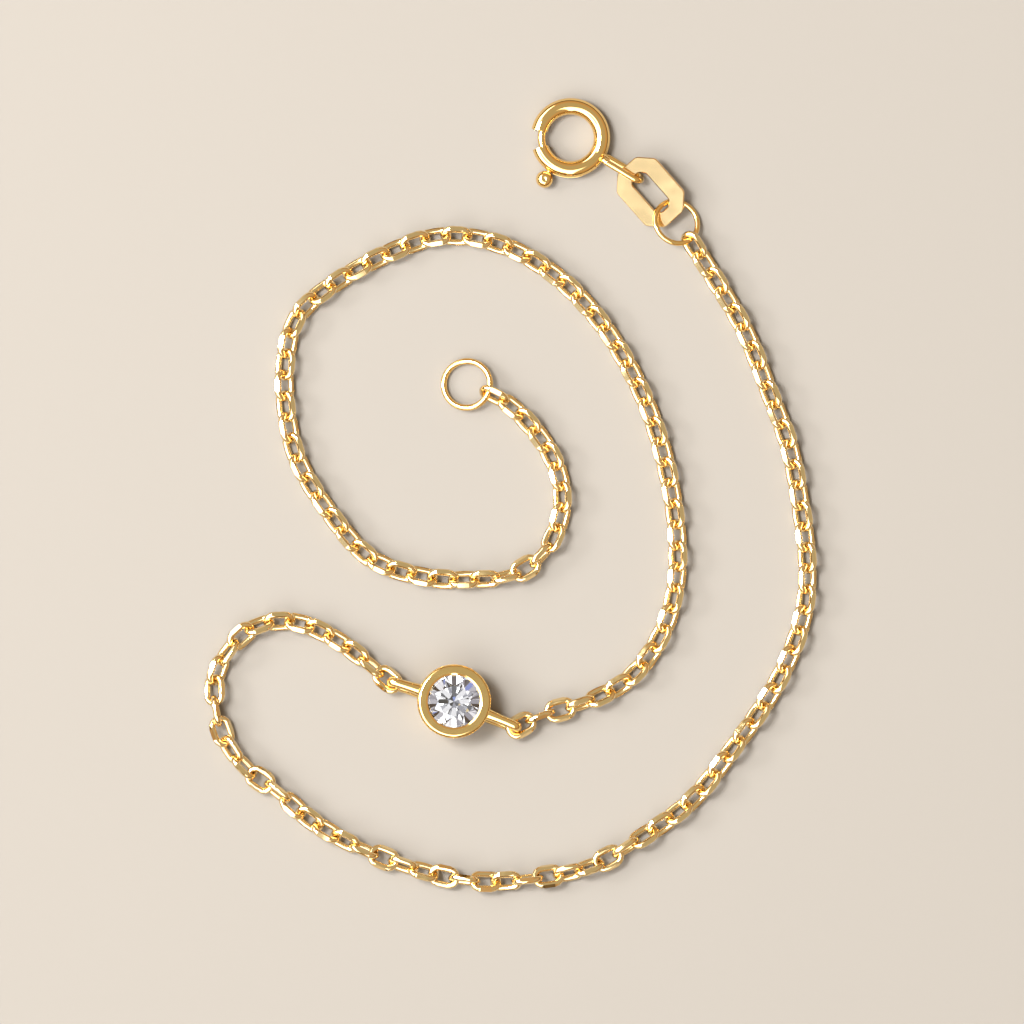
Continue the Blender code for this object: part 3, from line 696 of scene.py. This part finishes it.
def bailWire(centre, angle, reach):
    # a leg below, a bend and a leg above: point = centre + along * run + up * lift, where the bend's run
    # and lift are cos and sin to the power of its squareness, and the wire flares towards the cup
    along = heading(angle)
    up = leaned(along, bail["lean"] if along[0] < 0 else -bail["lean"])
    nose = bail["rise"] * bail["nose"]
    bendStart = reach - bail["wire"] - nose
    turn = np.linspace(-pi / 2, pi / 2, bail["bendPoints"])
    bulge = np.sign(np.sin(turn)) * np.abs(np.sin(turn)) ** bail["square"]
    legs = np.linspace(bail["root"], bendStart, bail["legPoints"] + 1)[:-1]
    run = np.concatenate([legs, bendStart + np.cos(turn) ** bail["square"] * nose, legs[::-1]])
    fade = np.clip(1 - (run - bail["root"]) / bail["flareLength"], 0, 1)
    flare = 1 + bail["flare"] * fade ** bail["flareFade"]
    level = np.ones(bail["legPoints"])
    lift = np.concatenate([-level, bulge, level]) * (bail["rise"] - (flare - 1) * bail["wire"])
    height = bail["rise"] + bail["wire"] + floorGap
    path = centre + along * run[:, None] + upright * height + up * lift[:, None]
    across = np.cross(along, up)
    outward = np.cross(unit(np.gradient(path, axis=0)), across)
    section = circle(bail["wire"], bail["sides"])[None] * flare[:, None, None]
    return cappedTube(path, outward, across, section)


def bailHooks():
    # where the two strands' first and last links sit in the bails' bends
    height = bail["rise"] + bail["wire"] + floorGap
    neighbours = (claspSideRoute[-1], endSideRoute[0])
    return [
        hook(polar(setting["centre"], reach - bail["wire"], angle, height), neighbour, bail["wire"])
        for angle, reach, neighbour in zip(bail["angles"], bail["reaches"], neighbours)
    ]


def makeSetting(shift, material):
    # the cup: point = centre + outward * radius + up * height, with the two bails' legs set into its wall
    outward = headings(np.arange(setting["segments"]) * 2 * pi / setting["segments"])
    centre = np.array([*setting["centre"], 0.0]) + shift
    shells = [closedTube(centre, outward, upright, cupProfile())]
    for angle, reach in zip(bail["angles"], bail["reaches"]):
        shells.append(bailWire(centre, angle, reach))
    points, faces = joinShells(shells)
    return addMesh("settingCup", points, faces, material, sharpness=setting["sharpness"])


stone = {
    "radius": 0.00158, "table": 0.0009, "girdle": 0.00006, "mains": 8, "girdleSides": 64,
    # slope of each kind of facet from level
    "crown": 34.5, "upperHalf": 41.5, "star": 21, "pavilion": 40.75, "lowerHalf": 41.25,
    # where the half facets start, as a share of the radius
    "halfStart": 0.9985,
    # how near two points are one, and how near a point is on a plane
    "merge": 2e-6, "touch": 1e-9,
}


def facetRing(count, offset, slope, height, radius, side):
    # a plane for each facet, through the point at its heading, radius and height:
    # normal = heading * sin of the slope + up or down * cos of the slope
    tilt = radians(slope)
    cuts = []
    for k in range(count):
        angle = radians(offset + 360 * k / count)
        spot = (cos(angle) * radius, sin(angle) * radius, height)
        cuts.append((spot, (sin(tilt) * cos(angle), sin(tilt) * sin(angle), side * cos(tilt))))
    return cuts


def makeStone(shift, material):
    # a blank is sliced by one plane for each facet, as a cutter grinds them
    low = girdleHeight()
    top = low + stone["girdle"]
    radius, mains = stone["radius"], stone["mains"]
    tableHeight = top + (radius - stone["table"]) * tan(radians(stone["crown"]))
    halfRadius = radius * stone["halfStart"]
    starRadius = stone["table"] * cos(pi / mains)
    cuts = [((0, 0, tableHeight), (0, 0, 1))]
    cuts += facetRing(mains, 0, stone["crown"], top, radius, 1)
    cuts += facetRing(2 * mains, 90 / mains, stone["upperHalf"], top, halfRadius, 1)
    cuts += facetRing(mains, 180 / mains, stone["star"], tableHeight, starRadius, 1)
    cuts += facetRing(mains, 0, stone["pavilion"], low, radius, -1)
    cuts += facetRing(2 * mains, 90 / mains, stone["lowerHalf"], low, halfRadius, -1)
    work = bmesh.new()
    bmesh.ops.create_cone(
        work, cap_ends=True, segments=stone["girdleSides"],
        radius1=radius, radius2=radius, depth=2 * radius,
    )
    bmesh.ops.translate(work, verts=work.verts, vec=(0, 0, low))
    for spot, normal in cuts:
        bmesh.ops.bisect_plane(
            work, geom=[*work.verts, *work.edges, *work.faces], dist=stone["touch"],
            plane_co=spot, plane_no=normal, clear_outer=True,
        )
        bmesh.ops.holes_fill(work, edges=[edge for edge in work.edges if edge.is_boundary])
    bmesh.ops.remove_doubles(work, verts=work.verts, dist=stone["merge"])
    bmesh.ops.recalc_face_normals(work, faces=work.faces)
    bmesh.ops.translate(work, verts=work.verts, vec=np.array([*setting["centre"], 0.0]) + shift)
    mesh = bpy.data.meshes.new("brilliant")
    work.to_mesh(mesh)
    work.free()
    piece = bpy.data.objects.new("brilliant", mesh)
    bpy.context.collection.objects.link(piece)
    mesh.materials.append(material)
    return piece


paper = {"half": 3.0, "colour": (0.24, 0.22, 0.194), "roughness": 0.8, "shine": 0.2}


def makeFloor(z):
    # one wide square of matt paper at height z
    half = paper["half"]
    corners = [(-half, -half, z), (half, -half, z), (half, half, z), (-half, half, z)]
    mesh = bpy.data.meshes.new("table")
    mesh.from_pydata(corners, [], [[0, 1, 2, 3]])
    floor = bpy.data.objects.new("table", mesh)
    bpy.context.collection.objects.link(floor)
    material = bpy.data.materials.new("palePaper")
    material.use_nodes = True
    shader = material.node_tree.nodes["Principled BSDF"]
    shader.inputs["Base Color"].default_value = (*paper["colour"], 1)
    shader.inputs["Roughness"].default_value = paper["roughness"]
    shader.inputs["Specular IOR Level"].default_value = paper["shine"]
    mesh.materials.append(material)
    print("laid the table")


studio = {
    # colour of the surroundings by height, from level (0) to straight up (1): khaki where the camera hangs
    "walls": [
        (0.0, (0.45, 0.3, 0.18)), (0.05, (0.12, 0.09, 0.06)), (0.18, (0.12, 0.09, 0.06)),
        (0.24, (0.5, 0.34, 0.2)), (0.6, (0.62, 0.43, 0.27)), (0.78, (0.52, 0.48, 0.4)),
    ],
    # white panels, as ranges of x / z and y / z of the direction, and their brightness
    "panels": [
        ((-2.3, -0.68), (-1.5, 1.6), 5.0), ((-0.78, -0.08), (-1.5, 0.0), 5.0),
        ((-0.2, 0.15), (-2.3, -0.25), 4.0),
    ],
    # the panels' soft edge, and the least height that their slopes are worked out with
    "panelEdge": 0.05, "leastHeight": 0.01,
    # a grey flag in the panel, where the leaning tag looks: its x / z and y / z, half width and soft edge
    "flag": (-0.42, -0.3), "flagSize": 7, "flagEdge": 2, "flagLevel": (0.72, 0.72, 0.73),
    # each lamp's power in watts, its width and its place
    "lamps": {
        "key": (2.4, 0.12, (-0.17, 0.06, 0.36)), "leftStrip": (0.7, 0.07, (-0.36, 0.05, 0.2)),
    },
    # what is seen through the stone: a patch draws a number from 0 to 1 and takes the last colour up to it
    "glints": [
        (0.0, (0.02, 0.022, 0.03)), (0.22, (0.14, 0.15, 0.18)), (0.36, (0.4, 0.41, 0.48)),
        (0.52, (0.3, 0.4, 0.85)), (0.55, (0.62, 0.63, 0.7)), (0.74, (1.1, 1.1, 1.15)),
        (0.93, (1.0, 0.8, 0.45)), (0.95, (2.2, 2.2, 2.2)),
    ],
    # how many patches there are to a radian of heading, and from level to straight up
    "glintTurns": 9, "glintRows": 40,
    "backdrop": (0.7, 0.65, 0.59),
}


def mathNode(nodes, links, operation, *inputs):
    # one step of arithmetic, on numbers and on other nodes' values
    step = nodes.new("ShaderNodeMath")
    step.operation = operation
    for k, value in enumerate(inputs):
        if isinstance(value, (int, float)):
            step.inputs[k].default_value = value
        else:
            links.new(value, step.inputs[k])
    return step.outputs["Value"]


def softStep(nodes, links, value, zeroAt, oneAt):
    # 0 at one value, 1 at the other and smooth between
    step = nodes.new("ShaderNodeMapRange")
    step.interpolation_type = "SMOOTHSTEP"
    step.inputs["From Min"].default_value = zeroAt
    step.inputs["From Max"].default_value = oneAt
    links.new(value, step.inputs["Value"])
    return step.outputs["Result"]


def spanMask(nodes, links, value, span):
    # 1 while a value is within a span, 0 outside, from its distance to the span's middle
    low, high = span
    apart = mathNode(nodes, links, "ABSOLUTE", mathNode(nodes, links, "SUBTRACT", value, (low + high) / 2))
    half = (high - low) / 2
    return softStep(nodes, links, apart, half + studio["panelEdge"], half - studio["panelEdge"])


def spotMask(nodes, links, place, direction, size, edge):
    # 1 inside a cone about a direction, 0 outside, from the cosine of the angle between
    near = nodes.new("ShaderNodeVectorMath")
    near.operation = "DOT_PRODUCT"
    near.inputs[1].default_value = tuple(unit(np.array(direction)))
    links.new(place, near.inputs[0])
    return softStep(nodes, links, near.outputs["Value"], cos(radians(size + edge)), cos(radians(size)))


def mixColour(nodes, links, share, below, above):
    # below * (1 - share) + above * share; above is a colour or another node's
    mix = nodes.new("ShaderNodeMix")
    mix.data_type = "RGBA"
    links.new(share, mix.inputs["Factor"])
    links.new(below, mix.inputs["A"])
    if isinstance(above, tuple):
        mix.inputs["B"].default_value = (*above, 1)
    else:
        links.new(above, mix.inputs["B"])
    return mix.outputs["Result"]


def colourRamp(nodes, links, value, stops, interpolation="LINEAR"):
    # a value turned into a colour by a list of stops
    ramp = nodes.new("ShaderNodeValToRGB")
    ramp.color_ramp.interpolation = interpolation
    elements = ramp.color_ramp.elements
    while len(elements) > 1:
        elements.remove(elements[-1])
    for k, (height, colour) in enumerate(stops):
        stop = elements[0] if k == 0 else elements.new(height)
        stop.position = height
        stop.color = (*colour, 1)
    links.new(value, ramp.inputs["Fac"])
    return ramp.outputs["Color"]


def roomColour(nodes, links, place, direction):
    # warm walls by height, and white panels placed by the direction's slopes, x / z and y / z
    lit = colourRamp(nodes, links, direction["Z"], studio["walls"])
    height = mathNode(nodes, links, "MAXIMUM", direction["Z"], studio["leastHeight"])
    slopes = [mathNode(nodes, links, "DIVIDE", direction[axis], height) for axis in ("X", "Y")]
    for across, deep, level in studio["panels"]:
        wide = spanMask(nodes, links, slopes[0], across)
        long = spanMask(nodes, links, slopes[1], deep)
        lit = mixColour(nodes, links, mathNode(nodes, links, "MULTIPLY", wide, long), lit, (level,) * 3)
    flag = spotMask(nodes, links, place, (*studio["flag"], 1.0), studio["flagSize"], studio["flagEdge"])
    return mixColour(nodes, links, flag, lit, studio["flagLevel"])


def glintColour(nodes, links, direction):
    # many small bright and dark patches, slices of heading and height, which the facets draw out to slivers
    slices = nodes.new("ShaderNodeCombineXYZ")
    links.new(mathNode(nodes, links, "ARCTAN2", direction["Y"], direction["X"]), slices.inputs["X"])
    links.new(direction["Z"], slices.inputs["Y"])
    stretch = nodes.new("ShaderNodeVectorMath")
    stretch.operation = "MULTIPLY"
    stretch.inputs[1].default_value = (studio["glintTurns"], studio["glintRows"], 0)
    links.new(slices.outputs["Vector"], stretch.inputs[0])
    cells = nodes.new("ShaderNodeTexVoronoi")
    cells.inputs["Scale"].default_value = 1.0
    links.new(stretch.outputs["Vector"], cells.inputs["Vector"])
    pick = nodes.new("ShaderNodeSeparateColor")
    links.new(cells.outputs["Color"], pick.inputs["Color"])
    return colourRamp(nodes, links, pick.outputs["Red"], studio["glints"], "CONSTANT")


def lightScene():
    # the room, the patches for light that has been through the stone, and a pale wall for the camera itself
    world = bpy.data.worlds.new("studio")
    bpy.context.scene.world = world
    world.use_nodes = True
    nodes, links = world.node_tree.nodes, world.node_tree.links
    place = nodes.new("ShaderNodeTexCoord").outputs["Generated"]
    split = nodes.new("ShaderNodeSeparateXYZ")
    links.new(place, split.inputs["Vector"])
    path = nodes.new("ShaderNodeLightPath").outputs
    room = roomColour(nodes, links, place, split.outputs)
    glints = glintColour(nodes, links, split.outputs)
    seen = mixColour(nodes, links, path["Is Transmission Ray"], room, glints)
    seen = mixColour(nodes, links, path["Is Camera Ray"], seen, studio["backdrop"])
    links.new(seen, nodes["Background"].inputs["Color"])
    for name, (power, width, spot) in studio["lamps"].items():
        light = bpy.data.lights.new(name, "AREA")
        light.energy = power
        light.size = width
        lamp = bpy.data.objects.new(name, light)
        bpy.context.collection.objects.link(lamp)
        aimAt(lamp, spot, (0, 0, 0))
    bpy.context.scene.view_settings.view_transform = "Standard"
    print("lit the room with", len(studio["panels"]), "panels and", len(studio["lamps"]), "lamps")


def aimAt(thing, place, target):
    # puts a thing at a place with its own -Z towards the target
    thing.location = place
    thing.rotation_euler = (Vector(target) - Vector(place)).to_track_quat("-Z", "Y").to_euler()


view = {
    "target": (0.00008, -0.00098, 0.0005), "elevation": 88, "azimuth": -90, "distance": 1.2,
    "width": 0.0582, "sensor": 36, "nearest": 0.01,
}


def placeCamera():
    # a long lens from almost straight above: lens = sensor * distance / the width that it takes in
    camera = bpy.data.cameras.new("camera")
    camera.sensor_width = view["sensor"]
    camera.lens = view["sensor"] * view["distance"] / view["width"]
    camera.clip_start = view["nearest"]
    thing = bpy.data.objects.new("camera", camera)
    bpy.context.collection.objects.link(thing)
    rise = radians(view["elevation"])
    away = heading(view["azimuth"]) * cos(rise) + upright * sin(rise)
    aimAt(thing, tuple(np.array(view["target"]) + away * view["distance"]), view["target"])
    bpy.context.scene.camera = thing
    print("placed the camera")


def main():
    # materials first, then where the strands start and end, then the pieces and the stage
    shift = cadShift()
    print("drawing to frame", np.round(shift * 1e6, 1), "micrometres")
    polishWear()
    chainGold = goldMaterial("chainGold")
    ringGold = goldMaterial("ringGold")
    plateGold = goldMaterial("plateGold")
    settingGold = goldMaterial("settingGold")

    firstRing = tagRingFrame()
    lastRing = endRingFrame()
    start = ringHook(tagRing, firstRing, claspSideRoute[0])
    finish = ringHook(endRing, lastRing, endSideRoute[-1])
    left, right = bailHooks()

    placePiece(makeClasp(shift, ringGold), "bracelet", "clasp_ring")
    placePiece(makeGate(shift, ringGold), "gate", "clasp_gate")
    placePiece(makeTag(shift, plateGold), "bracelet", "tag_link")
    rings = (("tagRing", "tag_ring", tagRing, firstRing), ("endRing", "end_ring", endRing, lastRing))
    for name, node, sizes, ring in rings:
        placePiece(makeRing(name, sizes, ring, shift, ringGold), "bracelet", node)
    strands = (
        ("claspSideChain", "clasp_side_chain", start, claspSideRoute, left, claspSideTurned, chain["roll"]),
        ("endSideChain", "end_side_chain", right, endSideRoute, finish, endSideTurned, -chain["roll"]),
    )
    for name, node, begin, route, end, turned, firstRoll in strands:
        piece = makeChain(name, begin, route, end, turned, firstRoll, shift, chainGold)
        placePiece(piece, "bracelet", node)
    placePiece(makeSetting(shift, settingGold), "bracelet", "bezel")
    placePiece(makeStone(shift, diamondMaterial()), "bracelet", "stone")

    makeFloor(float(cadBox[0][2]))
    lightScene()
    placeCamera()


main()
